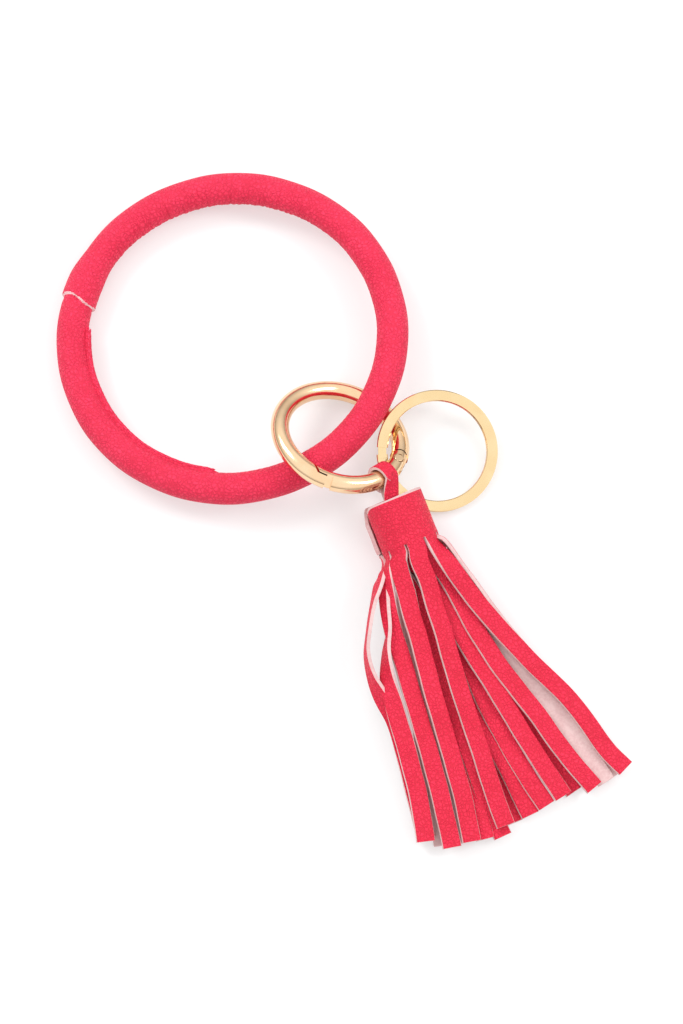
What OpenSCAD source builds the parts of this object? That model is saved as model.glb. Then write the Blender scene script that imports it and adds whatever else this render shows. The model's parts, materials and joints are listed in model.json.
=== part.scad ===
// Wristlet keychain lying on a table: a leather covered hoop for the wrist, a spring gate
// clip linked round it, and a key ring and a leather tassel hung on the clip.
// +Z is up, z = 0 is the table and the origin lies under the middle of the hoop.

/* [Hoop] */
// Radius of the hoop's centre line
hoop_r = 42.3; // [38:0.5:44]
// Outer radius of the covered hoop's section
cover_r = 4.15; // [4:0.05:4.4]
// Thickness of the cover's leather
cover_t = 0.8; // [0.6:0.1:1]
// Bore radius of the tube inside the cover
core_bore = 1.6; // [1:0.1:2]
// Height of the hoop's centre over the table
hoop_z = 7.3; // [7:0.1:7.6]
// Lean of the hoop, because it lies on the clip on one side
hoop_tilt = 3.5; // [3:0.1:4]
// How far the cover's sewn edge stands out
flange_h = 1.1; // [0.6:0.1:1.2]
// Spacing of the stitches along the seam, in degrees round the hoop
stitch_pitch = 2.9; // [2:0.1:5]

/* [Clip] */
// Radius of the clip's centre line
clip_r = 16.2; // [16:0.1:16.4]
// Radius of the clip's round wire
wire_r = 2.4; // [2.2:0.05:2.45]
// Lean of the clip against the hoop
clip_tilt = 28; // [27:0.5:29]
// Place of the hinge pin round the clip
pin_at = -81; // [-84:1:-78]
// Place of the gate's free end round the clip
nose_at = -173; // [-176:1:-160]
// Radius of the hinge pin
pin_r = 0.8; // [0.6:0.05:0.9]
// Turns of the gate's torsion spring
spring_turns = 2; // [1:1:2]

/* [Key ring] */
// Outer radius of the key ring
key_outer = 16; // [15.5:0.1:16]
// Inner radius of the key ring
key_inner = 13.1; // [12.8:0.1:13.4]
// Height of the two coils together
key_h = 1.6; // [1.4:0.1:1.6]

/* [Tassel] */
// Outer radius of the rolled head
head_r = 8.6; // [8.2:0.1:8.8]
// Length of the uncut head
head_l = 12.5; // [11:0.5:14]
// Thickness of the tassel's leather
sheet_t = 1; // [0.8:0.05:1.1]
// Step of the roll from one turn to the next
roll_step = 1.25; // [1.2:0.05:1.3]
// Width of one strip
strip_w = 4.8; // [4.4:0.1:5]
// Width of the strap that forms the loop
loop_w = 3.8; // [3.4:0.1:4]
// Thickness of the loop's strap
loop_t = 1; // [0.8:0.05:1.1]

/* [Hidden] */
$fn = 48;
// Strips of the two outer turns of the roll, counted from the roll's loose edge. Each row holds
// the sideways place at mid length, at three quarters and at the end, the reach from the
// head's top, the height at mid length, the layer it ends in and the side that faces up:
// 0 the grain, 180 the back.
strips = [
    [-20, -22, -26, 87, 9, 3, 0],
    [-8.5, -10.5, -14.5, 90, 2.6, 0, 180],
    [-1.5, -2, 0, 90, 2.2, 0, 180],
    [5, 8, 11, 89, 1.8, 0, 180],
    [12.5, 20.5, 26.4, 88, 2.8, 0, 180],
    [13, 22.5, 29.3, 87.5, 8.8, 3, 0],
    [-1, -3.5, -5.3, 90.5, 12.5, 3, 0],
    [-7.5, -11, -15.3, 91, 12.8, 3, 0],
    [-13.8, -16.5, -20.5, 90.5, 11, 3, 0],
    [-14, -17, -21.5, 86, 5, 1, 0],
    [-8, -8.5, -8, 93, 4, 1, 180],
    [-2.5, 0, 5, 88.5, 4.1, 1, 180],
    [3.5, 9, 15.5, 90, 3.8, 1, 180],
    [11, 17.6, 22.5, 89, 4.6, 1, 180],
    [7.2, 14.2, 19.4, 88.5, 8.2, 2, 0],
    [2.4, 6, 10, 89.5, 10, 2, 0],
    [-3.7, -3, -2.5, 90.5, 9.9, 2, 0],
    [-8, -9.5, -11, 91, 6.6, 2, 180]
];
strip_names = [for (i = [0 : len(strips) - 1]) str("strip_", i < 9 ? "0" : "", i + 1)];

leather = [0.95, 0.2, 0.35];
leather_back = [0.9, 0.72, 0.72];
clip_metal = [0.93, 0.78, 0.6];
ring_metal = [0.96, 0.86, 0.68];

// Hoop
fit_gap = 0.05;
core_r = cover_r - cover_t - 2 * fit_gap;
hoop_lean_to = 158;
lap_from = 152;
lap_to = 167;
lap_t = 0.6;
flange_from = 176;
flange_to = 264;
flange_t = 1.2;
flange_up = 165;
joiner_arc = 24;
core_gap = 2;

// Clip
clip_xy = [28.55, -28.8];
clip_lean_to = 57;
clip_z = wire_r + clip_r * sin(clip_tilt);
hinge_gap = 0.35;
hinge_r = 2.7;
seat_gap = 0.02;
fork_slot = 1.2;
tongue_low = -1.1;
tongue_high = 0.1;
tongue_r = 2.1;
head_sink = 0.45;
pin_head_r = 1.25;
nose_lap = 9;
nose_gap = 0.4;
nose_slit = 0.6;
nose_reach = 2 * clip_r * sin((pin_at - nose_at) / 2);
spring_wire = 0.15;
spring_z = 0.27;

// Key ring
key_xy = [53.85, -31];
key_tilt = 15;
key_lean_to = -60;
key_z = key_outer * sin(key_tilt) + key_h / 2 * cos(key_tilt) + 0.02;
key_end_at = 240;
coil_gap = 0.1;
key_chamfer = 0.2;

// Tassel, in a frame that runs from the head's top along the strips
tassel_xy = [41.65, -46.1];
tassel_to = -67.5;
head_z = 12.28;
head_dip = 15;
roll_turns = 4.2;
roll_end = -160;
loop_at = -105;
loop_gap = 0.45;
strip_pitch = 5.2;
mid_x = 38;
far_x = 65;
far_heights = [1.2, 2.5, 4.9, 6.6];
end_heights = [0.6, 1.8, 3, 4.3];

function unit(v) = v / norm(v);

// Frames
module hoop_place()
    translate([0, 0, hoop_z]) rotate([0, 0, hoop_lean_to]) rotate([0, hoop_tilt, 0])
        rotate([0, 0, -hoop_lean_to]) children();

module clip_place()
    translate([clip_xy.x, clip_xy.y, clip_z]) rotate([0, clip_tilt, clip_lean_to]) children();

module pin_place()
    rotate([0, 0, pin_at]) translate([clip_r, 0, 0]) children();

module key_place()
    translate([key_xy.x, key_xy.y, key_z]) rotate([0, key_tilt, key_lean_to]) children();

module tassel_place()
    translate([tassel_xy.x, tassel_xy.y, 0]) rotate([0, 0, tassel_to]) children();

// A ring sector from angle a to angle b with the section given as children
module sector(a, b)
    rotate([0, 0, a]) rotate_extrude(angle = b - a) children();

module wire(radius, r, a, b)
    sector(a, b) translate([radius, 0]) circle(r = r);

// Hoop pieces
module core_hoop()
    color("white") hoop_place() difference() {
        wire(hoop_r, core_r, lap_to + core_gap, lap_to + 360 - core_gap);
        wire(hoop_r, core_bore, lap_to, lap_to + 360);
    }

module core_joiner()
    color("lightgray") hoop_place()
        wire(hoop_r, core_bore - fit_gap, lap_to - joiner_arc / 2, lap_to + joiner_arc / 2);

module bangle_cover()
    color(leather) hoop_place() difference() {
        union() {
            rotate_extrude() translate([hoop_r, 0]) circle(r = cover_r);
            wire(hoop_r, cover_r + lap_t, lap_from, lap_to);
            sector(flange_from, flange_to) translate([hoop_r, 0]) rotate(flange_up)
                translate([0, -flange_t / 2]) square([cover_r + flange_h, flange_t]);
        }
        rotate_extrude() translate([hoop_r, 0]) circle(r = cover_r - cover_t);
    }

module seam_thread() {
    stitch_r = 0.2;
    stitch_arc = stitch_pitch * 0.7;
    out = cover_r + flange_h * 0.5;
    color(leather) hoop_place()
        for (a = [flange_from + 1 : stitch_pitch : flange_to - stitch_pitch])
            sector(a, a + stitch_arc) translate([hoop_r, 0]) rotate(flange_up)
                translate([out, -flange_t / 2]) circle(r = stitch_r);
}

// Clip pieces
// Outline of the tongue that fits between the gate's two ears
module tongue() {
    circle(r = tongue_r);
    translate([-tongue_r, 0]) square([2 * tongue_r, 2 * tongue_r]);
}

module clip_body() {
    nose = nose_at + 360;
    color(clip_metal) clip_place() difference() {
        wire(clip_r, wire_r, pin_at - 6, nose + nose_lap);
        // Hollow for the gate's round end, all but the tongue
        pin_place() difference() {
            cylinder(r = hinge_r + hinge_gap, h = 4 * wire_r, center = true);
            translate([0, 0, tongue_low]) linear_extrude(height = tongue_high - tongue_low) tongue();
        }
        // The gate's free end is cut round the pin, and only a lip on the outer side passes it
        intersection() {
            sector(nose - 14, nose + nose_lap + 1) translate([clip_r - 2 * wire_r, -2 * wire_r])
                square([2 * wire_r + 2 * nose_gap, 4 * wire_r]);
            pin_place() cylinder(r = nose_reach + nose_slit, h = 4 * wire_r, center = true);
        }
        pin_place() cylinder(r = pin_r + fit_gap, h = 4 * wire_r, center = true);
    }
}

module clip_gate()
    color(clip_metal) clip_place() difference() {
        wire(clip_r, wire_r, nose_at - 12, pin_at + 11);
        // Free end
        difference() {
            sector(nose_at - 13, nose_at + 12) translate([clip_r - 2 * wire_r, -2 * wire_r])
                square([4 * wire_r, 4 * wire_r]);
            pin_place() cylinder(r = nose_reach, h = 6 * wire_r, center = true);
        }
        // Round end at the hinge
        difference() {
            sector(pin_at, pin_at + 13) translate([clip_r - 2 * wire_r, -2 * wire_r])
                square([4 * wire_r, 4 * wire_r]);
            pin_place() cylinder(r = hinge_r, h = 6 * wire_r, center = true);
        }
        // Slot between the ears
        sector(pin_at - 12, pin_at + 14) translate([clip_r - 2 * wire_r, -fork_slot])
            square([4 * wire_r, 2 * fork_slot]);
        // Notch for the body's lip
        sector(nose_at - 13, nose_at + nose_lap + 5.5) translate([clip_r + nose_gap, -2 * wire_r])
            square([2 * wire_r, 4 * wire_r]);
        pin_place() cylinder(r = pin_r + seat_gap, h = 4 * wire_r, center = true);
        for (side = [-1, 1])
            pin_place() translate([0, 0, side * (wire_r - head_sink + 1)])
                cylinder(r = pin_head_r + seat_gap, h = 2, center = true);
    }

module gate_pin()
    color("tan") clip_place() pin_place() {
        cylinder(r = pin_r, h = 2 * (wire_r - head_sink), center = true);
        for (side = [-1, 1])
            translate([0, 0, side * (wire_r - head_sink + 0.2)])
                cylinder(r = pin_head_r, h = 0.4, center = true);
    }

// Places along the spring: a short leg, the turns round the pin and the second leg
spring_r = pin_r + 0.12 + spring_wire;
spring_lift = 2 * spring_wire + 0.03;
function spring_turn(a) =
    [spring_r * cos(a), spring_r * sin(a), spring_z + spring_lift * a / 360];
spring_path = concat(
    [[spring_r, -2.2, spring_z], [spring_r, -1.1, spring_z]],
    [for (a = [0 : 20 : 360 * spring_turns]) spring_turn(a)],
    [[spring_r, 1.1, spring_turn(360 * spring_turns).z], [spring_r, 2, spring_turn(360 * spring_turns).z]]
);

module gate_spring()
    color("silver") clip_place() pin_place()
        tube(spring_path, spring_wire, 6);

// Key ring: two flat coils, joined where the wire steps from one to the other
module coil_section(low, high)
    polygon([
        [key_inner, low + key_chamfer], [key_inner + key_chamfer, low],
        [key_outer - key_chamfer, low], [key_outer, low + key_chamfer],
        [key_outer, high - key_chamfer], [key_outer - key_chamfer, high],
        [key_inner + key_chamfer, high], [key_inner, high - key_chamfer]
    ]);

module key_ring()
    color(ring_metal) key_place() {
        sector(key_end_at + 22, key_end_at + 358) coil_section(coil_gap / 2, key_h / 2);
        sector(key_end_at + 5, key_end_at + 352) coil_section(-key_h / 2, -coil_gap / 2);
        sector(key_end_at - 9, key_end_at + 9)
            translate([key_inner + 0.4, -key_h / 4]) square([key_outer - key_inner - 0.8, key_h / 2]);
    }

// Tassel pieces
function roll_radius(turn) = head_r - sheet_t / 2 - roll_step * turn;
along = [cos(head_dip), 0, -sin(head_dip)];
upward = [sin(head_dip), 0, cos(head_dip)];
head_top = [0, 0, head_z];
function on_head(x, r, a) = head_top + along * x + [0, r * cos(a), 0] + upward * r * sin(a);

module tassel_head() {
    step = 15;
    function at(turn, d) = let (a = roll_end + 360 * turn, r = roll_radius(turn) + d)
        [-r * sin(a), r * cos(a)];
    turns = [for (i = [0 : step : 360 * roll_turns]) i / 360];
    last = len(turns) - 1;
    color(leather) tassel_place() translate(head_top) rotate([0, 90 + head_dip, 0])
        linear_extrude(height = head_l)
            polygon(concat(
                [for (t = turns) at(t, sheet_t / 2)],
                [for (i = [last : -1 : 0]) at(turns[i], -sheet_t / 2)]
            ));
}

// Turns from the roll's edge to the middle of strip i, found from the length of the roll
function roll_turn(length, guess = 0, n = 0) =
    n > 8 ? guess
    : roll_turn(length, length / (2 * PI * (head_r - sheet_t / 2 - roll_step * guess / 2)), n + 1);

// A smooth curve through four points p, entering along the first point's direction
function curve(p, t) = let (
    q = concat([p[0] - along * 22], p, [2 * p[3] - p[2]]),
    k = min(floor(t * 3), 2), u = t * 3 - k,
    a = q[k], b = q[k + 1], c = q[k + 2], d = q[k + 3]
) 0.5 * (2 * b + (c - a) * u + (2 * a - 5 * b + 4 * c - d) * u * u + (3 * b - a - 3 * c + d) * u * u * u);

// A ribbon along the points p, with its width along the directions w
module ribbon(p, w, width, thick) {
    n = len(p);
    t = [for (i = [0 : n - 1]) unit(p[min(i + 1, n - 1)] - p[max(i - 1, 0)])];
    wide = [for (i = [0 : n - 1]) unit(w[i] - t[i] * (w[i] * t[i]))];
    flat = [for (i = [0 : n - 1]) cross(t[i], wide[i])];
    corners = [[-1, -1], [1, -1], [1, 1], [-1, 1]];
    pts = [for (i = [0 : n - 1], c = corners)
        p[i] + wide[i] * c[0] * width / 2 + flat[i] * c[1] * thick / 2];
    polyhedron(pts, concat(
        [[0, 1, 2, 3]],
        [for (i = [0 : n - 2], c = [0 : 3], face = [
            [4 * i + c, 4 * i + 4 + c, 4 * i + 4 + (c + 1) % 4],
            [4 * i + c, 4 * i + 4 + (c + 1) % 4, 4 * i + (c + 1) % 4]
        ]) face],
        [[4 * n - 1, 4 * n - 2, 4 * n - 3, 4 * n - 4]]
    ), convexity = 4);
}

// A round tube along the points p, which stay near the xy plane
module tube(p, r, sides) {
    n = len(p);
    t = [for (i = [0 : n - 1]) unit(p[min(i + 1, n - 1)] - p[max(i - 1, 0)])];
    across = [for (i = [0 : n - 1]) unit(cross([0, 0, 1], t[i]))];
    up = [for (i = [0 : n - 1]) cross(t[i], across[i])];
    pts = [for (i = [0 : n - 1], k = [0 : sides - 1])
        p[i] + across[i] * r * cos(360 * k / sides) + up[i] * r * sin(360 * k / sides)];
    polyhedron(pts, concat(
        [[for (k = [0 : sides - 1]) k]],
        [for (i = [0 : n - 2], k = [0 : sides - 1])
            [sides * i + k, sides * (i + 1) + k,
             sides * (i + 1) + (k + 1) % sides, sides * i + (k + 1) % sides]],
        [[for (k = [sides - 1 : -1 : 0]) sides * (n - 1) + k]]
    ), convexity = 6);
}

module strip(i) {
    steps = 15;
    s = strips[i];
    turn = roll_turn(strip_pitch * (i + 0.5));
    a = roll_end + 360 * turn;
    start = on_head(head_l, roll_radius(turn), a);
    path = [
        start + along * 1.5,
        [mid_x, s[0], s[4]],
        [far_x, s[1], far_heights[s[5]]],
        [s[3], s[2], end_heights[s[5]]]
    ];
    roll_from = (a + 270) % 360 > 180 ? (a + 270) % 360 - 360 : (a + 270) % 360;
    roll_to = s[6] == 0 ? 0 : roll_from < 0 ? -180 : 180;
    p = concat([start], [for (k = [0 : steps]) curve(path, k / steps)]);
    w = [for (k = [-1 : steps]) let (
            f = min(1, max(k - 1, 0) / 7),
            roll = roll_from + (roll_to - roll_from) * f * f * (3 - 2 * f)
        ) [0, cos(roll), sin(roll)]];
    color(s[6] == 0 ? leather : leather_back) tassel_place() ribbon(p, w, strip_w, sheet_t);
}

// Strap loop round the gate, with both ends inside the rolled head
function rot_z(v, a) = [v.x * cos(a) - v.y * sin(a), v.x * sin(a) + v.y * cos(a), v.z];
function rot_y(v, a) = [v.x * cos(a) + v.z * sin(a), v.y, v.z * cos(a) - v.x * sin(a)];
function clip_turn(v) = rot_z(rot_y(v, clip_tilt), clip_lean_to);
function from_tassel(v) = rot_z(v, tassel_to) + [tassel_xy.x, tassel_xy.y, 0];

module tassel_loop() {
    out = clip_turn([cos(loop_at), sin(loop_at), 0]);
    over = clip_turn([0, 0, 1]);
    tangent = cross(over, out);
    middle = [clip_xy.x, clip_xy.y, clip_z] + clip_r * out;
    r = wire_r + loop_gap + loop_t / 2;
    leg = loop_t / 2 + 0.05;
    side = rot_z([0, 1, 0], tassel_to);
    p = concat(
        [for (x = [6, 3, 0]) from_tassel(head_top + along * x + upward * leg)],
        [for (a = [45 : 18 : 315]) middle + r * (cos(a) * out + sin(a) * over)],
        [for (x = [0, 3, 6]) from_tassel(head_top + along * x - upward * leg)]
    );
    w = [for (i = [0 : len(p) - 1]) i < 3 || i > len(p) - 4 ? side : tangent];
    color(leather) ribbon(p, w, loop_w, loop_t);
}

core_hoop();
core_joiner();
bangle_cover();
seam_thread();
clip_body();
gate_spring();
clip_gate();
gate_pin();
key_ring();
tassel_loop();
tassel_head();
for (i = [0 : len(strips) - 1])
    strip(i);
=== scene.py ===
import json
from math import cos, pi, radians, sin

import bpy
import numpy as np
from mathutils import Matrix, Vector


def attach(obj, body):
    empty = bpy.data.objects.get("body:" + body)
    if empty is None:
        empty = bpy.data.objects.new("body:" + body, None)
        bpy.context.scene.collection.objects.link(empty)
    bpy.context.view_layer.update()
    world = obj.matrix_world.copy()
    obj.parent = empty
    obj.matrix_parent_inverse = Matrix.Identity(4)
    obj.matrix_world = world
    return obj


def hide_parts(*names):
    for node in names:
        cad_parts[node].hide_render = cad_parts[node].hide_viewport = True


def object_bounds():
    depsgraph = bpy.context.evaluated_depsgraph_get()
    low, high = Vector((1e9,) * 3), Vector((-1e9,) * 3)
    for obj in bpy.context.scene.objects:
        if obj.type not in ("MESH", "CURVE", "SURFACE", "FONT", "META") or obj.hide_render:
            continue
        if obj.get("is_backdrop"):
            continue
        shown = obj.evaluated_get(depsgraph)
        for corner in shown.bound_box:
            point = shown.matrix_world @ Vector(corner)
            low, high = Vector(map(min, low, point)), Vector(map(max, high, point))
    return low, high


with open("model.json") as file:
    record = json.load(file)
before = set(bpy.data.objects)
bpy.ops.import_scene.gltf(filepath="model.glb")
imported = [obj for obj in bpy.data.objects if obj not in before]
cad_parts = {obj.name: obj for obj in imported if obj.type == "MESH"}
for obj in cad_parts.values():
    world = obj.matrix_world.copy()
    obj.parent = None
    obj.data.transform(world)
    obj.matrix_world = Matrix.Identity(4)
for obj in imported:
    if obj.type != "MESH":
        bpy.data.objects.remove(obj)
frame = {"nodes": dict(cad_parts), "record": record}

cad_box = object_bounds()
scene = bpy.context.scene
mm = 0.001

# ---------------------------------------------------------------------------
# Camera
# Nearly straight above the set, leaning a little towards the tassel's end.
aim = Vector((28.85, -47.7, 5)) * mm
towards_camera = Vector((0, -0.2924, 0.9563))
camera_data = bpy.data.cameras.new("camera")
camera_data.lens = 121.7
camera_data.clip_start, camera_data.clip_end = 0.05, 10
camera = bpy.data.objects.new("camera", camera_data)
scene.collection.objects.link(camera)
camera.location = aim + towards_camera * 0.9
camera.rotation_euler = (-towards_camera).to_track_quat("-Z", "Y").to_euler()
scene.camera = camera

# ---------------------------------------------------------------------------
# Table and light
# A plain white table under a bright soft sky, with two soft boxes.
scene.view_settings.view_transform = "Standard"
world = bpy.data.worlds.new("studio")
scene.world = world
world.use_nodes = True
sky = world.node_tree
background = sky.nodes["Background"]
place = sky.nodes.new("ShaderNodeTexCoord")
split = sky.nodes.new("ShaderNodeSeparateXYZ")
shade = sky.nodes.new("ShaderNodeValToRGB")
shade.color_ramp.elements[0].position, shade.color_ramp.elements[0].color = 0.02, (0.3, 0.27, 0.26, 1)
shade.color_ramp.elements[1].position, shade.color_ramp.elements[1].color = 0.5, (1, 1, 1, 1)
sky.links.new(place.outputs["Generated"], split.inputs[0])
sky.links.new(split.outputs["Z"], shade.inputs[0])
sky.links.new(shade.outputs["Color"], background.inputs["Color"])
background.inputs["Strength"].default_value = 1.15

table_mesh = bpy.data.meshes.new("table")
table_mesh.from_pydata([(-3, -3, 0), (3, -3, 0), (3, 3, 0), (-3, 3, 0)], [], [(0, 1, 2, 3)])
table = bpy.data.objects.new("table", table_mesh)
scene.collection.objects.link(table)
table_paint = bpy.data.materials.new("white_table")
table_paint.use_nodes = True
table_paint.node_tree.nodes["Principled BSDF"].inputs["Base Color"].default_value = (0.5, 0.5, 0.5, 1)
table_paint.node_tree.nodes["Principled BSDF"].inputs["Roughness"].default_value = 0.9
table_paint.node_tree.nodes["Principled BSDF"].inputs["Specular IOR Level"].default_value = 0.1
table_paint.node_tree.nodes["Principled BSDF"].inputs["Emission Color"].default_value = (1, 1, 1, 1)
table_paint.node_tree.nodes["Principled BSDF"].inputs["Emission Strength"].default_value = 0.43
table_mesh.materials.append(table_paint)
table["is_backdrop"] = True

for name, spot, size, power in (
    ("soft_box_left", (-0.7, 0.5, 0.9), 0.5, 6.0),
    ("soft_box_right", (0.8, 0.1, 0.8), 0.4, 3.5),
):
    lamp = bpy.data.lights.new(name, "AREA")
    lamp.size, lamp.energy = size, power
    box = bpy.data.objects.new(name, lamp)
    scene.collection.objects.link(box)
    box.location = spot
    box.rotation_euler = (aim - Vector(spot)).to_track_quat("-Z", "Y").to_euler()

# ---------------------------------------------------------------------------
# Hoop cover
# A strip of soft pebbled leather wrapped round a plastic tube. Its long edges are sewn
# together as a low fin on the inner side, and its end laps over its start.
hoop_r, section_r = 42.3, 4.15
hoop_z, hoop_lean, lean_towards = 7.3, 3.5, 158
hoop_frame = (
    Matrix.Translation((0, 0, hoop_z))
    @ Matrix.Rotation(radians(lean_towards), 4, "Z")
    @ Matrix.Rotation(radians(hoop_lean), 4, "Y")
    @ Matrix.Rotation(radians(-lean_towards), 4, "Z")
)


class Value:
    """A number that changes over a surface. Sums on it add the Math nodes."""

    def __init__(self, finish, socket):
        self.finish, self.socket = finish, socket

    def join(self, operation, *values):
        return Value(self.finish, self.finish.node("Math", {"operation": operation}, *values).outputs[0])

    def __add__(self, other):
        return self.join("ADD", self, other)

    def __sub__(self, other):
        return self.join("SUBTRACT", self, other)

    def __rsub__(self, other):
        return self.join("SUBTRACT", other, self)

    def __mul__(self, other):
        return self.join("MULTIPLY", self, other)

    __radd__, __rmul__ = __add__, __mul__


class Finish:
    """One material that is built up from nodes."""

    def __init__(self, name):
        self.material = bpy.data.materials.new(name)
        self.material.use_nodes = True
        self.tree = self.material.node_tree
        self.surface = self.tree.nodes["Principled BSDF"]

    def node(self, kind, settings=None, *values, **named):
        """Adds a node, sets its settings, then gives its sockets their values or links."""
        made = self.tree.nodes.new("ShaderNode" + kind)
        for key, value in (settings or {}).items():
            setattr(made, key, value)
        sockets = list(zip(range(len(values)), values))
        sockets += [(key.replace("_", " "), value) for key, value in named.items()]
        for key, value in sockets:
            self.give(made.inputs[key], value)
        return made

    def give(self, socket, value):
        if isinstance(value, Value):
            value = value.socket
        if isinstance(value, bpy.types.NodeSocket):
            self.tree.links.new(value, socket)
        elif hasattr(value, "__len__") and len(value) == 3 and socket.type == "RGBA":
            socket.default_value = (*value, 1)
        else:
            socket.default_value = value

    def value(self, node, output=0):
        return Value(self, node.outputs[output])

    def mix(self, amount, low, high):
        """A colour between two colours."""
        made = self.node("Mix", {"data_type": "RGBA"})
        self.give(made.inputs[0], amount)
        self.give(made.inputs[6], low)
        self.give(made.inputs[7], high)
        return made.outputs[2]

    def steps(self, amount, low, high, to_low=0.0, to_high=1.0):
        made = self.node("MapRange", {"interpolation_type": "SMOOTHSTEP"}, amount, low, high, to_low, to_high)
        return self.value(made)

    def bump(self, height, strength, depth_mm, normal=None):
        made = self.node("Bump", {}, Strength=strength, Distance=depth_mm * mm, Height=height)
        if normal is not None:
            self.give(made.inputs["Normal"], normal)
        return made.outputs[0]

    def end(self, **sockets):
        for key, value in sockets.items():
            self.give(self.surface.inputs[key.replace("_", " ")], value)
        return self.material


def grained_leather(name, cell, tone, groove_shade, light, depth):
    """Pebbled grain: small domed cells of about cell mm, finer pores and a few long creases, with painted shade in the
    grooves between the cells, in the pores and in the creases.
    """
    f = Finish(name)
    spot = f.node("TexCoord").outputs["Object"]
    stretch = f.node("TexNoise", {}, Vector=spot, Scale=0.3 / (cell * mm), Detail=3.0)
    bent = f.node("VectorMath", {"operation": "MULTIPLY_ADD"}, stretch.outputs["Color"], (1.6 * cell * mm,) * 3, spot)
    edges = {"feature": "DISTANCE_TO_EDGE"}
    cells = f.value(f.node("TexVoronoi", edges, Vector=bent.outputs[0], Scale=1 / (cell * mm)))
    small = f.value(f.node("TexVoronoi", edges, Vector=bent.outputs[0], Scale=2.1 / (cell * mm)))
    domes = f.steps(cells, 0.0, 0.32)
    pores = f.steps(small, 0.0, 0.25)
    patch = f.value(f.node("TexNoise", {}, Vector=spot, Scale=110.0, Detail=3.0))
    fine = f.value(f.node("TexNoise", {}, Vector=spot, Scale=3600.0, Detail=3.0))
    ridges = {"noise_type": "RIDGED_MULTIFRACTAL"}
    folds = f.value(f.node("TexNoise", ridges, Vector=bent.outputs[0], Scale=420.0, Detail=2.0))
    creases = f.steps(folds, 0.9, 1.5)
    height = domes * 0.6 + pores * 0.3 + fine * 0.2 - creases * 0.35
    shade = f.mix(f.steps(patch, 0.32, 0.68), tone, light)
    # Painted shade: the grooves between the domes, the pores and the creases are mixed towards a darker colour that
    # stands in for the shade falling in them.
    low = f.steps(domes * 0.7 + pores * 0.3, 0.1, 0.75, 1.0, 0.0) * 0.5 + creases * 0.3
    shade = f.mix(low, shade, groove_shade)
    return f.end(
        Base_Color=shade,
        Roughness=f.steps(domes, 0.0, 1.0, 0.6, 0.46) + (patch - 0.5) * 0.1,
        Normal=f.bump(height, 0.9, depth),
        Specular_IOR_Level=0.32,
    )


def pale_leather(name, tone, shade):
    """The raw back and cut edges: pale fibres with a little nap."""
    f = Finish(name)
    spot = f.node("TexCoord").outputs["Object"]
    nap = f.value(f.node("TexNoise", {}, Vector=spot, Scale=1500.0, Detail=5.0, Roughness=0.7))
    cloud = f.value(f.node("TexNoise", {}, Vector=spot, Scale=160.0, Detail=2.0))
    return f.end(
        Base_Color=f.mix(f.steps(nap * 0.6 + cloud * 0.4, 0.35, 0.65), shade, tone),
        Roughness=nap * 0.1 + 0.82,
        Normal=f.bump(nap, 0.4, 0.08),
        Specular_IOR_Level=0.2,
    )


# The hoop's pink tones; the second is painted shade for the grooves and creases of the grain.
pink, pink_groove_shade, pink_light = (0.84, 0.026, 0.086), (0.48, 0.005, 0.024), (0.9, 0.034, 0.102)
hoop_leather = grained_leather("pebbled_pink", 0.95, pink, pink_groove_shade, pink_light, 0.26)
cut_edge = pale_leather("pale_cut_edge", (0.84, 0.6, 0.6), (0.7, 0.38, 0.4))


def soft_step(x, low, high):
    t = np.clip((x - low) / (high - low), 0, 1)
    return t * t * (3 - 2 * t)


def shell(name, grid, closed_round, closed_along, finishes, pick=None):
    """A mesh over a grid of points: rows go along the piece, columns go round it."""
    rows, columns = grid.shape[:2]
    i, j = np.meshgrid(np.arange(rows - (not closed_along)), np.arange(columns - (not closed_round)), indexing="ij")
    corner = lambda a, b: (a % rows) * columns + b % columns
    faces = np.stack([corner(i, j), corner(i, j + 1), corner(i + 1, j + 1), corner(i + 1, j)], -1).reshape(-1, 4)
    mesh = bpy.data.meshes.new(name)
    mesh.from_pydata(grid.reshape(-1, 3).tolist(), [], faces.tolist())
    for finish in finishes:
        mesh.materials.append(finish)
    if pick is not None:
        mesh.polygons.foreach_set("material_index", pick(i, j).reshape(-1).astype(np.int32))
    mesh.polygons.foreach_set("use_smooth", np.ones(len(faces), bool))
    # The faces point outwards: the volume that they close counts as more than nothing
    corners = grid.reshape(-1, 3)[faces] - grid.reshape(-1, 3).mean(0)
    if (np.cross(corners[:, 1] - corners[:, 0], corners[:, 2] - corners[:, 0]) * corners[:, 0]).sum() + (
        np.cross(corners[:, 2] - corners[:, 0], corners[:, 3] - corners[:, 0]) * corners[:, 0]
    ).sum() < 0:
        mesh.flip_normals()
    piece = bpy.data.objects.new(name, mesh)
    scene.collection.objects.link(piece)
    return piece


round_steps = 1080
a = np.linspace(0, 360, round_steps, endpoint=False)[:, None]
# The section's points stand closer together at the sewn fin
b = np.concatenate([np.linspace(-180, 145, 56, endpoint=False), np.linspace(145, 180, 26, endpoint=False)])[None, :]
at = np.radians(a)
bt = np.radians(b)
fin_mask = soft_step(a, 174, 179) * (1 - soft_step(a, 261, 266))
across_fin = (b - 165) * section_r * pi / 180
fin = 1.1 * (1 - soft_step(np.abs(across_fin), 0.38, 0.72))
fin = fin - 0.3 * np.exp(-((across_fin / 0.12) ** 2)) - 0.12 * np.exp(-(((np.abs(across_fin) - 0.85) / 0.25) ** 2))
lap_edge = 166.0 - 1.6 * np.cos(bt) + 0.5 * np.sin(3 * bt + 1)
lap = 0.62 * soft_step(a, 146, 158) * (1 - soft_step(a - lap_edge, -0.35, 0.1))
lap = lap - 0.12 * np.exp(-(((a - lap_edge - 1.0) / 0.7) ** 2))
inner_side = np.clip(0.15 - np.cos(bt + 0.45), 0, 1.15) ** 1.2
pinch = lambda x: 1 - 2 * (1 - np.abs(np.sin(x / 2))) ** 2
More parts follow.
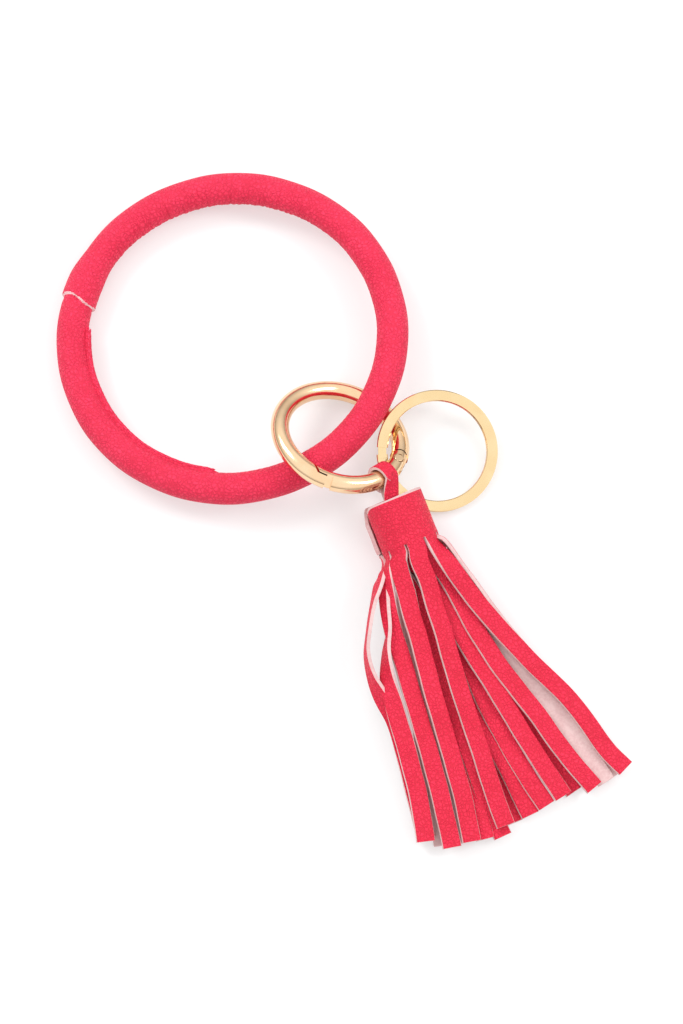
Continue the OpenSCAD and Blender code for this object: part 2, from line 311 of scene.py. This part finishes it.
folds = (
    pinch(at * 139 + 1.9 * np.sin(at * 11) + 0.5 * np.sin(bt * 3) + 0.6 * np.sin(at * 37))
    + 0.7 * pinch(at * 203 + 2.4 * np.sin(at * 17 + 1) - bt * 1.2)
    + 0.5 * np.sin(at * 61 + 1.7 * np.sin(at * 7) + bt)
)
fold_mask = soft_step(a, 30, 75) * (1 - soft_step(a, 138, 154)) + 0.22
lumps = 0.07 * np.sin(3 * at + 1) * np.cos(bt + 1) + 0.05 * np.sin(8 * at + 2 * np.cos(bt))
lumps = lumps + 0.035 * np.sin(19 * at + bt)
radius = section_r + fin * fin_mask + lap + 0.085 * folds * inner_side * fold_mask + lumps
turned = np.array(hoop_frame)


def round_hoop(radius, along, across):
    """Points at a radius round the hoop's centre line, leaning as the hoop lies."""
    reach = hoop_r + radius * np.cos(across)
    points = np.stack([reach * np.cos(along), reach * np.sin(along), radius * np.sin(across) + 0 * along], -1)
    return points @ turned[:3, :3].T + turned[:3, 3]


ring = round_hoop(radius, at, bt)
ring[..., 2] = np.maximum(ring[..., 2], 0.02)


def cover_parts(i, j):
    """The pale cut edge shows on the step at the lap's end."""
    step = np.abs(a[i, 0] + 0.17 - lap_edge[0, j] + 0.12) < 0.24
    return step.astype(int)


cover = shell("hoop_cover", ring * mm, True, True, [hoop_leather, cut_edge], cover_parts)
# The sleeve's inner face, which lies on the tube
at_in = np.radians(np.arange(0, 360, 2.0))[:, None]
bt_in = np.radians(np.arange(0, 360, 15.0))[None, :]
bore = section_r - 0.8
lining_grid = round_hoop(bore, at_in, bt_in) * mm
lining = shell("cover_lining", lining_grid, True, True, [hoop_leather, cut_edge], lambda i, j: 0 * i + 1)
lining.data.flip_normals()
with bpy.context.temp_override(active_object=cover, selected_editable_objects=[cover, lining]):
    bpy.ops.object.join()
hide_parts("bangle_cover")
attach(cover, "hoop")

# ---------------------------------------------------------------------------
# Seam thread
# A lockstitch in pink thread through both layers of the fin, seen as a row of short
# stitches on each face.
thread = Finish("twisted_thread")
spot = thread.node("TexCoord").outputs["Object"]
twist = thread.value(thread.node("TexWave", {"bands_direction": "DIAGONAL"}, Vector=spot, Scale=900.0, Distortion=1.0))
thread.end(
    Base_Color=thread.mix(twist, (0.55, 0.01, 0.05), (0.85, 0.05, 0.14)),
    Roughness=twist * 0.1 + 0.6,
    Normal=thread.bump(twist, 0.4, 0.05),
)

fin_height = section_r + 0.72
lines, edges = [], []
for side in (-1, 1):
    tilt = radians(165) + side * 0.60 / fin_height
    start = len(lines)
    for step in range(121):
        turn = radians(177 + (263 - 177) * step / 120)
        reach = hoop_r + fin_height * cos(tilt)
        lines.append(hoop_frame @ Vector((reach * cos(turn), reach * sin(turn), fin_height * sin(tilt))) * mm)
    edges += [(k, k + 1) for k in range(start, start + 120)]
seam_mesh = bpy.data.meshes.new("seam_stitches")
seam_mesh.from_pydata(lines, edges, [])
seam = bpy.data.objects.new("seam_stitches", seam_mesh)
scene.collection.objects.link(seam)

stitch_tree = bpy.data.node_groups.new("stitches_along_a_line", "GeometryNodeTree")
for kind, label, default in (
    ("NodeSocketGeometry", "Line", None),
    ("NodeSocketFloat", "Pitch", 1.0 * mm),
    ("NodeSocketFloat", "Stitch length", 1.0 * mm),
    ("NodeSocketFloat", "Thread radius", 0.1 * mm),
    ("NodeSocketMaterial", "Thread", None),
):
    socket = stitch_tree.interface.new_socket(label, in_out="INPUT", socket_type=kind)
    if default is not None:
        socket.default_value = default
stitch_tree.interface.new_socket("Stitches", in_out="OUTPUT", socket_type="NodeSocketGeometry")
nodes, links = stitch_tree.nodes, stitch_tree.links
given = nodes.new("NodeGroupInput")
curve_node = nodes.new("GeometryNodeMeshToCurve")
spaced = nodes.new("GeometryNodeResampleCurve")
spaced.mode = "LENGTH"
ball = nodes.new("GeometryNodeMeshUVSphere")
ball.inputs["Segments"].default_value, ball.inputs["Rings"].default_value = 8, 6
ball.inputs["Radius"].default_value = 1
halved = nodes.new("ShaderNodeMath")
halved.operation, halved.inputs[1].default_value = "MULTIPLY", 0.5
sized = nodes.new("ShaderNodeCombineXYZ")
shaped = nodes.new("GeometryNodeTransform")
tangent = nodes.new("GeometryNodeInputTangent")
aligned = nodes.new("FunctionNodeAlignRotationToVector")
aligned.axis = "Z"
placed = nodes.new("GeometryNodeInstanceOnPoints")
real = nodes.new("GeometryNodeRealizeInstances")
smooth = nodes.new("GeometryNodeSetShadeSmooth")
painted = nodes.new("GeometryNodeSetMaterial")
result = nodes.new("NodeGroupOutput")
for source, target in (
    (given.outputs["Line"], curve_node.inputs[0]),
    (curve_node.outputs[0], spaced.inputs["Curve"]),
    (given.outputs["Pitch"], spaced.inputs["Length"]),
    (given.outputs["Thread radius"], sized.inputs[0]),
    (given.outputs["Thread radius"], sized.inputs[1]),
    (given.outputs["Stitch length"], halved.inputs[0]),
    (halved.outputs[0], sized.inputs[2]),
    (ball.outputs[0], shaped.inputs["Geometry"]),
    (sized.outputs[0], shaped.inputs["Scale"]),
    (tangent.outputs[0], aligned.inputs["Vector"]),
    (spaced.outputs[0], placed.inputs["Points"]),
    (shaped.outputs[0], placed.inputs["Instance"]),
    (aligned.outputs[0], placed.inputs["Rotation"]),
    (placed.outputs[0], real.inputs[0]),
    (real.outputs[0], smooth.inputs[0]),
    (smooth.outputs[0], painted.inputs["Geometry"]),
    (given.outputs["Thread"], painted.inputs["Material"]),
    (painted.outputs[0], result.inputs[0]),
):
    links.new(source, target)
sewing = seam.modifiers.new("sewing", "NODES")
sewing.node_group = stitch_tree
wanted = {"Pitch": 2.0 * mm, "Stitch length": 1.5 * mm, "Thread radius": 0.2 * mm, "Thread": thread.material}
for socket in stitch_tree.interface.items_tree:
    if socket.in_out == "INPUT" and socket.name in wanted:
        sewing[socket.identifier] = wanted[socket.name]
sewn = bpy.data.meshes.new_from_object(seam.evaluated_get(bpy.context.evaluated_depsgraph_get()))
seam.modifiers.clear()
seam.data = sewn
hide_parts("seam_thread")
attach(seam, "hoop")

# ---------------------------------------------------------------------------
# Core tube and joiner
# An extruded plastic tube bent to a ring, with a short rod pushed into both its ends.
# The cover hides them.
tube_plastic = Finish("extruded_tube")
spot = tube_plastic.node("TexCoord").outputs["Object"]
haze = tube_plastic.value(tube_plastic.node("TexNoise", {}, Vector=spot, Scale=120.0, Detail=4.0))
tube_plastic.end(
    Base_Color=tube_plastic.mix(haze, (0.74, 0.74, 0.71), (0.86, 0.86, 0.84)),
    Roughness=haze * 0.2 + 0.35,
    Normal=tube_plastic.bump(haze, 0.2, 0.1),
)
for name in ("core_hoop", "core_joiner"):
    frame["nodes"][name].data.materials.clear()
    frame["nodes"][name].data.materials.append(tube_plastic.material)

# ---------------------------------------------------------------------------
# Clip body, gate and pin
# A die-cast ring with a sprung gate on a riveted pin, polished and plated in a warm
# pale gold.


def plated(name, tone, deep, scratch, rivet=None):
    """Polished plating with faint rubbing marks and a slightly uneven gloss. A rivet is given
    by a point on its axis and the axis: the hammered edge of its head is sunk as a groove with a ring of painted shade
    in it."""
    f = Finish(name)
    spot = f.node("TexCoord").outputs["Object"]
    cloud = f.value(f.node("TexNoise", {}, Vector=spot, Scale=220.0, Detail=3.0))
    long_marks = f.node("Mapping", {}, Vector=spot, Scale=(260.0, 2600.0, 260.0), Rotation=(0.0, 0.0, 0.6))
    marks = f.value(f.node("TexNoise", {}, Vector=long_marks.outputs[0], Scale=1.0, Detail=4.0, Roughness=0.65))
    colour = f.mix(f.steps(cloud, 0.3, 0.7), deep, tone)
    relief = f.bump(marks * 0.5 + cloud * 0.5, 0.12, 0.03)
    if rivet:
        point, axis = rivet
        away = f.node("VectorMath", {"operation": "SUBTRACT"}, spot, tuple(point))
        across = f.node("VectorMath", {"operation": "CROSS_PRODUCT"}, away.outputs[0], tuple(axis))
        reach = f.value(f.node("VectorMath", {"operation": "LENGTH"}, across.outputs[0]), "Value") * 1000.0
        rivet_groove_and_shade = f.steps(reach, 1.08, 1.22) * f.steps(reach, 1.3, 1.44, 1.0, 0.0)
        # Painted shade: the sunken ring round the rivet's head is mixed towards a deep brown gold, standing in for the
        # shade that falls in the groove.
        colour = f.mix(rivet_groove_and_shade * 0.8, colour, (0.3, 0.15, 0.06))
        relief = f.bump(1 - rivet_groove_and_shade, 0.8, 0.12, relief)
    return f.end(
        Base_Color=colour,
        Metallic=1.0,
        Roughness=f.steps(cloud, 0.25, 0.75, 0.09, 0.17) + f.steps(marks, 0.62, 0.75) * scratch,
        Normal=relief,
    )


def carry_over(name, finish):
    """Gives a node that keeps its own shape its finish."""
    node = frame["nodes"][name]
    node.data.materials.clear()
    node.data.materials.append(finish)


gate_hinge = next(joint for joint in frame["record"]["behaviour"]["joints"] if joint["name"] == "gate_open")
rivet_axis = gate_hinge["pos_m"], gate_hinge["axis"]
clip_plating = plated("warm_gold_plating", (0.91, 0.66, 0.42), (0.87, 0.6, 0.36), 0.08, rivet_axis)
for name in ("clip_body", "clip_gate", "gate_pin"):
    carry_over(name, clip_plating)

# ---------------------------------------------------------------------------
# Gate spring
# Thin drawn steel wire wound twice round the pin, between the gate's ears.
wire_steel = Finish("drawn_wire")
spot = wire_steel.node("TexCoord").outputs["Object"]
drawn = wire_steel.value(wire_steel.node("TexNoise", {}, Vector=spot, Scale=3000.0, Detail=2.0))
wire_steel.end(
    Base_Color=wire_steel.mix(drawn, (0.42, 0.42, 0.44), (0.62, 0.62, 0.64)),
    Metallic=1.0,
    Roughness=drawn * 0.15 + 0.25,
)
carry_over("gate_spring", wire_steel.material)

# ---------------------------------------------------------------------------
# Key ring
# Flat wire rolled into two coils, its edges eased, plated in a paler gold.
ring_plating = plated("pale_gold_plating", (0.89, 0.68, 0.39), (0.86, 0.64, 0.35), 0.1)
carry_over("key_ring", ring_plating)

# ---------------------------------------------------------------------------
# Tassel head
# One long piece of pebbled leather, cut into strips along one edge and rolled up tight
# from its other end. The uncut edge forms the head.
# Its second colour is painted shade for the grooves and creases of the grain.
strip_grain = grained_leather("strip_grain", 0.9, (0.79, 0.016, 0.058), (0.42, 0.003, 0.016), (0.85, 0.021, 0.07), 0.22)
strip_back = pale_leather("strip_back", (0.72, 0.53, 0.52), (0.62, 0.4, 0.4))
tassel_turn = radians(-67.5)
head_dip = radians(15)
head_top = Vector((0, 0, 12.28))
tassel_x, tassel_y = 41.65, -46.1
along = Vector((cos(head_dip), 0, -sin(head_dip)))
upward = Vector((sin(head_dip), 0, cos(head_dip)))
sheet_t, roll_step, roll_start, roll_r = 1.0, 1.25, -168.0, 8.1
head_l = 12.5


def on_table(p):
    """From the tassel's own frame, which runs from the head's top along the strips."""
    return np.stack([
        tassel_x + p[..., 0] * cos(tassel_turn) - p[..., 1] * sin(tassel_turn),
        tassel_y + p[..., 0] * sin(tassel_turn) + p[..., 1] * cos(tassel_turn),
        np.maximum(p[..., 2], 0.03),
    ], -1)


def roll_radius(turn):
    return roll_r - roll_step * turn + 0.3 * np.exp(-turn * 26)


def on_roll(x, r, angle):
    """A point on the roll, x down from the head's top, at an angle round its axis."""
    return np.stack(np.broadcast_arrays(
        x * along.x + upward.x * r * np.sin(angle),
        r * np.cos(angle),
        head_top.z + x * along.z + upward.z * r * np.sin(angle),
    ), -1)


turns = np.linspace(0, 4.1, 330)
spin = np.radians(roll_start) + turns * 2 * pi
# The section of the sheet: outer face, bottom edge, inner face, top edge
half = sheet_t / 2
profile = [(0.55, half), (1.5, half), (4, half), (7, half), (10, half), (head_l, half),
           (head_l, half), (head_l, -half), (head_l, -half), (8, -half), (4, -half), (0.12, -half),
           (0, -half + 0.1), (0, half - 0.1)]
bump_along = lambda t, x: 0.05 * np.sin(t * 31 + x * 0.8) + 0.04 * np.sin(t * 57 - x * 0.5)
# The sheet's loose corner is cut away in a curve, and the turn above it is worn round
corner = 4.2 * (1 - soft_step(turns, -0.01, 0.075)) + 1.1 * np.exp(-(((turns - 0.96) / 0.05) ** 2))
grid = np.stack([
    on_roll(
        x + corner * (1 - x / head_l) + 0.12 * np.sin(turns * 17 + 1) * (x < 0.5) + 0.18 * turns * (x < 1),
        roll_radius(turns) + d + bump_along(turns, x),
        spin,
    )
    for x, d in profile
], 1)
caps = np.repeat(grid[[0, -1]].mean(1, keepdims=True), grid.shape[1], 1)
grid = np.concatenate([caps[:1], grid, caps[1:]], 0)
outer_face = lambda i, j: np.where((j >= 0) & (j < 5) & (i > 0) & (i < len(turns)), 0, 1)
head = shell("tassel_head_roll", on_table(grid)[:, ::-1] * mm, True, False, [strip_grain, strip_back],
             lambda i, j: outer_face(i, len(profile) - 2 - j + 0 * i))
head.data.set_sharp_from_angle(angle=radians(50))
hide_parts("tassel_head")
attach(head, "tassel")

# ---------------------------------------------------------------------------
# Tassel strips
# The strips of the roll's two outer turns, each hanging from its own place in the roll.
# Rows run from the roll's loose edge inwards: the CAD node, then places along the strip as
# (distance from the head's top, sideways, height, turn of its face: 0 grain up, 180 back up).
strip_w = 4.8
strip_rows = [
    ("strip_01", (19, -11.2, 11, 62), (24, -15.1, 10.8, 76), (30, -18.7, 10, 82), (35, -21.3, 9, 82),
        (41, -22.4, 8, 72), (46, -22.3, 6.8, 50), (53, -21.3, 5.2, 22), (66, -22.6, 3.8, 4),
        (84, -25.2, 2.2, 0)),
    ("strip_02", (22, -5, 2.2, 180), (38, -10.5, 1.8, 180), (65, -17, 1.4, 180), (87, -22, 0.7, 180)),
    ("strip_03", (22, 1.5, 2, 310), (38, -1, 1.5, 350), (65, -3, 1.3, 360), (88.5, -2.8, 0.6, 360)),
    ("strip_04", (22, 6.6, 3.4, 275), (38, 6, 2, 340), (65, 10, 1.3, 360), (87, 14.5, 0.6, 360)),
    ("strip_05", (16, 8.5, 11.5, -84), (23, 9.9, 11, -88), (30, 11.6, 9.6, -94), (40, 14, 6.6, -108),
        (52, 16.9, 4.3, -145), (65, 20.5, 2.3, -176), (81, 25.2, 1.2, -180), (87, 26.4, 0.8, -180)),
    ("strip_06", (23, 6.7, 14.9, -14), (30, 8.6, 12.6, -10), (38, 11, 10.6, -6), (45, 13.5, 9.2, -4),
        (52, 16.2, 8.2, -4), (59, 19.4, 7.2, -4), (65, 22, 6.4, -4), (73, 24.1, 5.4, -3),
        (81, 25.8, 4.5, 0), (87, 28.4, 3.8, 0)),
    ("strip_07", (19, -0.1, 15.4, -4), (24, 0, 14.2, -8), (30, -0.8, 12.9, -10), (38, -1.5, 11.6, -9),
        (46, -2.4, 10.4, -8), (54, -3.1, 9.2, -7), (67, -4.2, 7.2, -6), (80, -5.3, 5.4, -4),
        (89, -5.6, 4.2, 0)),
    ("strip_08", (17, -5.2, 14.2, 22), (25, -6.4, 13, 6), (31, -7.3, 12.2, -6), (38, -7.9, 11.3, -8),
        (44, -8.7, 10.4, -8), (53, -10, 9.2, -8), (65, -11.4, 7.2, -6), (79, -13, 5.4, -4),
        (89.5, -15.2, 4.3, 0)),
    ("strip_09", (18, -9.4, 12, 48), (25, -11.4, 11.2, 30), (33, -13, 10.4, 8), (39, -13.5, 9.8, -4),
        (47, -14.6, 9, -6), (55, -15.5, 8.2, -6), (65, -16.5, 7, -5), (74, -17.7, 5.9, -3),
        (89, -20.5, 4.3, 0)),
    ("strip_10", (20, -10.4, 9.8, 66), (27, -12.5, 10, 76), (32, -14.1, 10, 80), (37, -16.9, 9.7, 70),
        (43, -19.2, 9.3, 46), (50, -20.2, 8.6, 18), (60, -21.2, 7.4, 4), (73, -23.2, 5.6, -2),
        (85, -26, 4, 0)),
    ("strip_11", (24, -4, 4.6, 170), (38, -9, 4.4, 180), (65, -13, 3, 180), (88.5, -17.6, 2, 180)),
    ("strip_12", (24, 0.5, 5.4, 300), (38, -1, 5, 350), (65, -0.2, 3.8, 360), (75, 0.9, 3, 360),
        (88.5, 1.4, 1.8, 360)),
    ("strip_13", (24, 4.6, 7.4, 275), (38, 3, 6.4, 345), (55, 2, 5.2, 355), (66, 2.9, 4.3, 358),
        (79, 4.4, 3.4, 360), (88, 6, 2.7, 360)),
    ("strip_14", (24, 7.6, 10.8, -100), (33, 9.6, 8.6, -145), (41, 11.4, 6.8, -165),
        (48, 12.8, 5.8, -172), (55, 14.8, 5, -175), (64, 17.2, 4, -178), (72, 19.5, 3.2, -180),
        (88, 22.7, 2.1, -180)),
    ("strip_15", (20, 3.6, 12.9, -6), (27, 5.4, 11.2, -10), (38, 6.6, 9.4, -8), (45, 7.8, 8.5, -8),
        (52, 9.2, 7.7, -7), (59, 11, 7, -6), (67, 13.1, 6.1, -5), (76, 15.2, 5.1, -3),
        (88.5, 19.2, 3.6, 0)),
    ("strip_16", (22, 1.6, 11.4, -4), (30, 2.2, 10, -8), (42, 3.4, 8.4, -8), (53, 5.1, 7.2, -7),
        (65, 7, 6, -6), (76, 8.9, 4.8, -4), (87.5, 10.9, 3.5, 0)),
    ("strip_17", (24, -4.4, 9.6, 20), (38, -4, 7.8, 0), (66, -6.6, 5.2, 0), (82, -7.6, 3.6, 0),
        (91, -7.3, 2.6, 0)),
    ("strip_18", (24, -4.8, 7.4, 60), (38, -6.8, 7, 10), (62, -8.2, 5, 0), (78, -10, 3.8, 0),
        (90, -11.6, 3, 0)),
]


def smooth_through(points, steps):
    """A smooth curve through rows of numbers, spaced evenly along the first column."""
    p = np.array(points, float)
    p = np.concatenate([2 * p[:1] - p[1:2], p, 2 * p[-1:] - p[-2:-1]])
    where = np.linspace(p[1, 0], p[-2, 0], steps)
    k = np.clip(np.searchsorted(p[1:-1, 0], where, side="right") - 1, 0, len(p) - 4)
    rows = []
    for at_x, n in zip(where, k):
        p0, p1, p2, p3 = p[n : n + 4]
        u = (at_x - p1[0]) / (p2[0] - p1[0])
        m1 = (p2 - p0) / (p2[0] - p0[0]) * (p2[0] - p1[0])
        m2 = (p3 - p1) / (p3[0] - p1[0]) * (p2[0] - p1[0])
        start, end = (2 * u**3 - 3 * u**2 + 1) * p1, (3 * u**2 - 2 * u**3) * p2
        rows.append(start + (u**3 - 2 * u**2 + u) * m1 + end + (u**3 - u**2) * m2)
    return np.array(rows)


def strip_shape(name, path, face, curl, width, thick):
    """A flat strip with a grain face, a back and two cut edges, along a path. face holds the
    turn of its face in degrees and curl the radius it keeps from the roll, at each point."""
    t = np.gradient(path, axis=0)
    t /= np.linalg.norm(t, axis=1, keepdims=True)
    w = np.stack([0 * face, np.cos(np.radians(face)), np.sin(np.radians(face))], 1)
    w -= t * (w * t).sum(1, keepdims=True)
    w /= np.linalg.norm(w, axis=1, keepdims=True)
    n = np.cross(t, w)
    # Round the section: grain face, one cut edge, back, the other cut edge
    u = [-0.47, -0.445, -0.3, -0.1, 0.1, 0.3, 0.445, 0.47, 0.49]
    u = np.array(u + [0.51, 0.5, 0.3, 0.1, -0.1, -0.3, -0.5, -0.51, -0.49]) * width
    v = np.array([0.42] + [0.5] * 6 + [0.42, 0, -0.38] + [-0.5] * 6 + [-0.38, 0]) * thick
    bend = u[None, :] / curl[:, None]
    reach = curl[:, None] + v[None, :]
    sideways = reach * np.sin(bend)
    lift = reach * np.cos(bend) - curl[:, None]
    grid = path[:, None] + w[:, None] * sideways[..., None] + n[:, None] * lift[..., None]
    ends = np.repeat(grid[[0, -1]].mean(1, keepdims=True), grid.shape[1], 1)
    grid = np.concatenate([ends[:1], grid, ends[1:]], 0)
    last = len(path)
    pick = lambda i, j: np.where(((j < 7) & (i > 0) & (i < last)), 0, 1)
    piece = shell(name, on_table(grid) * mm, True, False, [strip_grain, strip_back], pick)
    piece.data.set_sharp_from_angle(angle=radians(50))
    return piece


def turn_at(length):
    """How many turns of the roll a length of the sheet takes, from its loose edge."""
    turn = 0.0
    for _ in range(12):
        turn = length / (2 * pi * (roll_r - roll_step * turn / 2))
    return turn


for order, (node, *rows) in enumerate(strip_rows):
    turn = turn_at(5.2 * (order + 0.5))
    angle = radians(roll_start) + turn * 2 * pi
    r = float(roll_radius(turn))
    first = on_roll(head_l - 0.2, r, angle)
    second = on_roll(head_l + 2, r, angle)
    flat_turn = (np.degrees(angle) - 90 + 180) % 360 - 180
    if abs(rows[0][3] - flat_turn) > 180:
        flat_turn += 360 if rows[0][3] > flat_turn else -360
    stations = [(*first, flat_turn), (*second, flat_turn)] + rows
    line = smooth_through(stations, 90)
    walk = line[:, 0] - line[0, 0]
    wave = np.clip(walk / 12, 0, 1)
    line[:, 1] += wave * (0.1 * np.sin(walk * 0.17 + order * 1.7) + 0.03 * np.sin(walk * 0.6 + order))
    line[:, 2] += wave * 0.06 * np.sin(walk * 0.25 + order * 2.3)
    line[:, 3] += wave * 1.2 * np.sin(walk * 0.2 + order * 1.1)
    curl = r + 60 * np.clip(walk / 12, 0, 1) ** 1.5 + 900 * np.clip((walk - 8) / 20, 0, 1)
    strip = strip_shape("tassel_" + node, line[:, :3], line[:, 3], curl, strip_w, sheet_t)
    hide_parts(node)
    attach(strip, "tassel")

# ---------------------------------------------------------------------------
# Tassel loop
# A narrow strap of the same leather, folded round the clip's gate. Both its ends are
# rolled into the middle of the head.
clip_r, wire_r, clip_lean, clip_towards = 16.2, 2.4, 28, 57
clip_turn = Matrix.Rotation(radians(clip_towards), 3, "Z") @ Matrix.Rotation(radians(clip_lean), 3, "Y")
clip_middle = Vector((28.55, -28.8, wire_r + clip_r * sin(radians(clip_lean))))
loop_at = radians(-105)
out = clip_turn @ Vector((cos(loop_at), sin(loop_at), 0))
over = clip_turn @ Vector((0, 0, 1))
tangent_there = over.cross(out)
middle = clip_middle + out * clip_r
tassel_origin = Vector((tassel_x, tassel_y, 0))
to_table = Matrix.Rotation(tassel_turn, 3, "Z")
side = to_table @ Vector((0, 1, 0))
strap_t, strap_w, strap_gap = 0.96, 3.8, 0.45
turn_r = wire_r + strap_gap + strap_t / 2
leg = strap_t / 2 + 0.05
strap_points = (
    [(tassel_origin + to_table @ (head_top + along * x + upward * leg), side) for x in (6, 3, 0)]
    + [(middle + (out * cos(radians(q)) + over * sin(radians(q))) * turn_r, tangent_there) for q in range(45, 316, 15)]
    + [(tassel_origin + to_table @ (head_top + along * x - upward * leg), side) for x in (0, 3, 6)]
)
count = len(strap_points)
stations = [(k, *p, *w) for k, (p, w) in enumerate(strap_points)]
line = smooth_through(stations, 4 * count)
path, wide = line[:, 1:4], line[:, 4:7]
t = np.gradient(path, axis=0)
t /= np.linalg.norm(t, axis=1, keepdims=True)
wide = wide - t * (wide * t).sum(1, keepdims=True)
wide /= np.linalg.norm(wide, axis=1, keepdims=True)
outwards = np.cross(t, wide)
u = np.array([-0.5, -0.46, -0.2, 0.2, 0.46, 0.5, 0.5, 0.5, 0.46, 0.2, -0.2, -0.46, -0.5, -0.5]) * strap_w
v = np.array([0.38, 0.5, 0.5, 0.5, 0.5, 0.38, 0, -0.38, -0.5, -0.5, -0.5, -0.5, -0.38, 0]) * strap_t
grain_side = lambda i, j: np.where((j >= 7) & (j < 12), 0, 1)
grid = path[:, None] + wide[:, None] * u[None, :, None] + outwards[:, None] * v[None, :, None]
ends = np.repeat(grid[[0, -1]].mean(1, keepdims=True), grid.shape[1], 1)
grid = np.concatenate([ends[:1], grid, ends[1:]], 0)
strap = shell("tassel_loop_strap", grid * mm, True, False, [strip_grain, strip_back], grain_side)
strap.data.set_sharp_from_angle(angle=radians(50))
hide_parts("tassel_loop")
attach(strap, "tassel")

new_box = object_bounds()
{"cad": [list(corner) for corner in cad_box], "visual": [list(corner) for corner in new_box]}
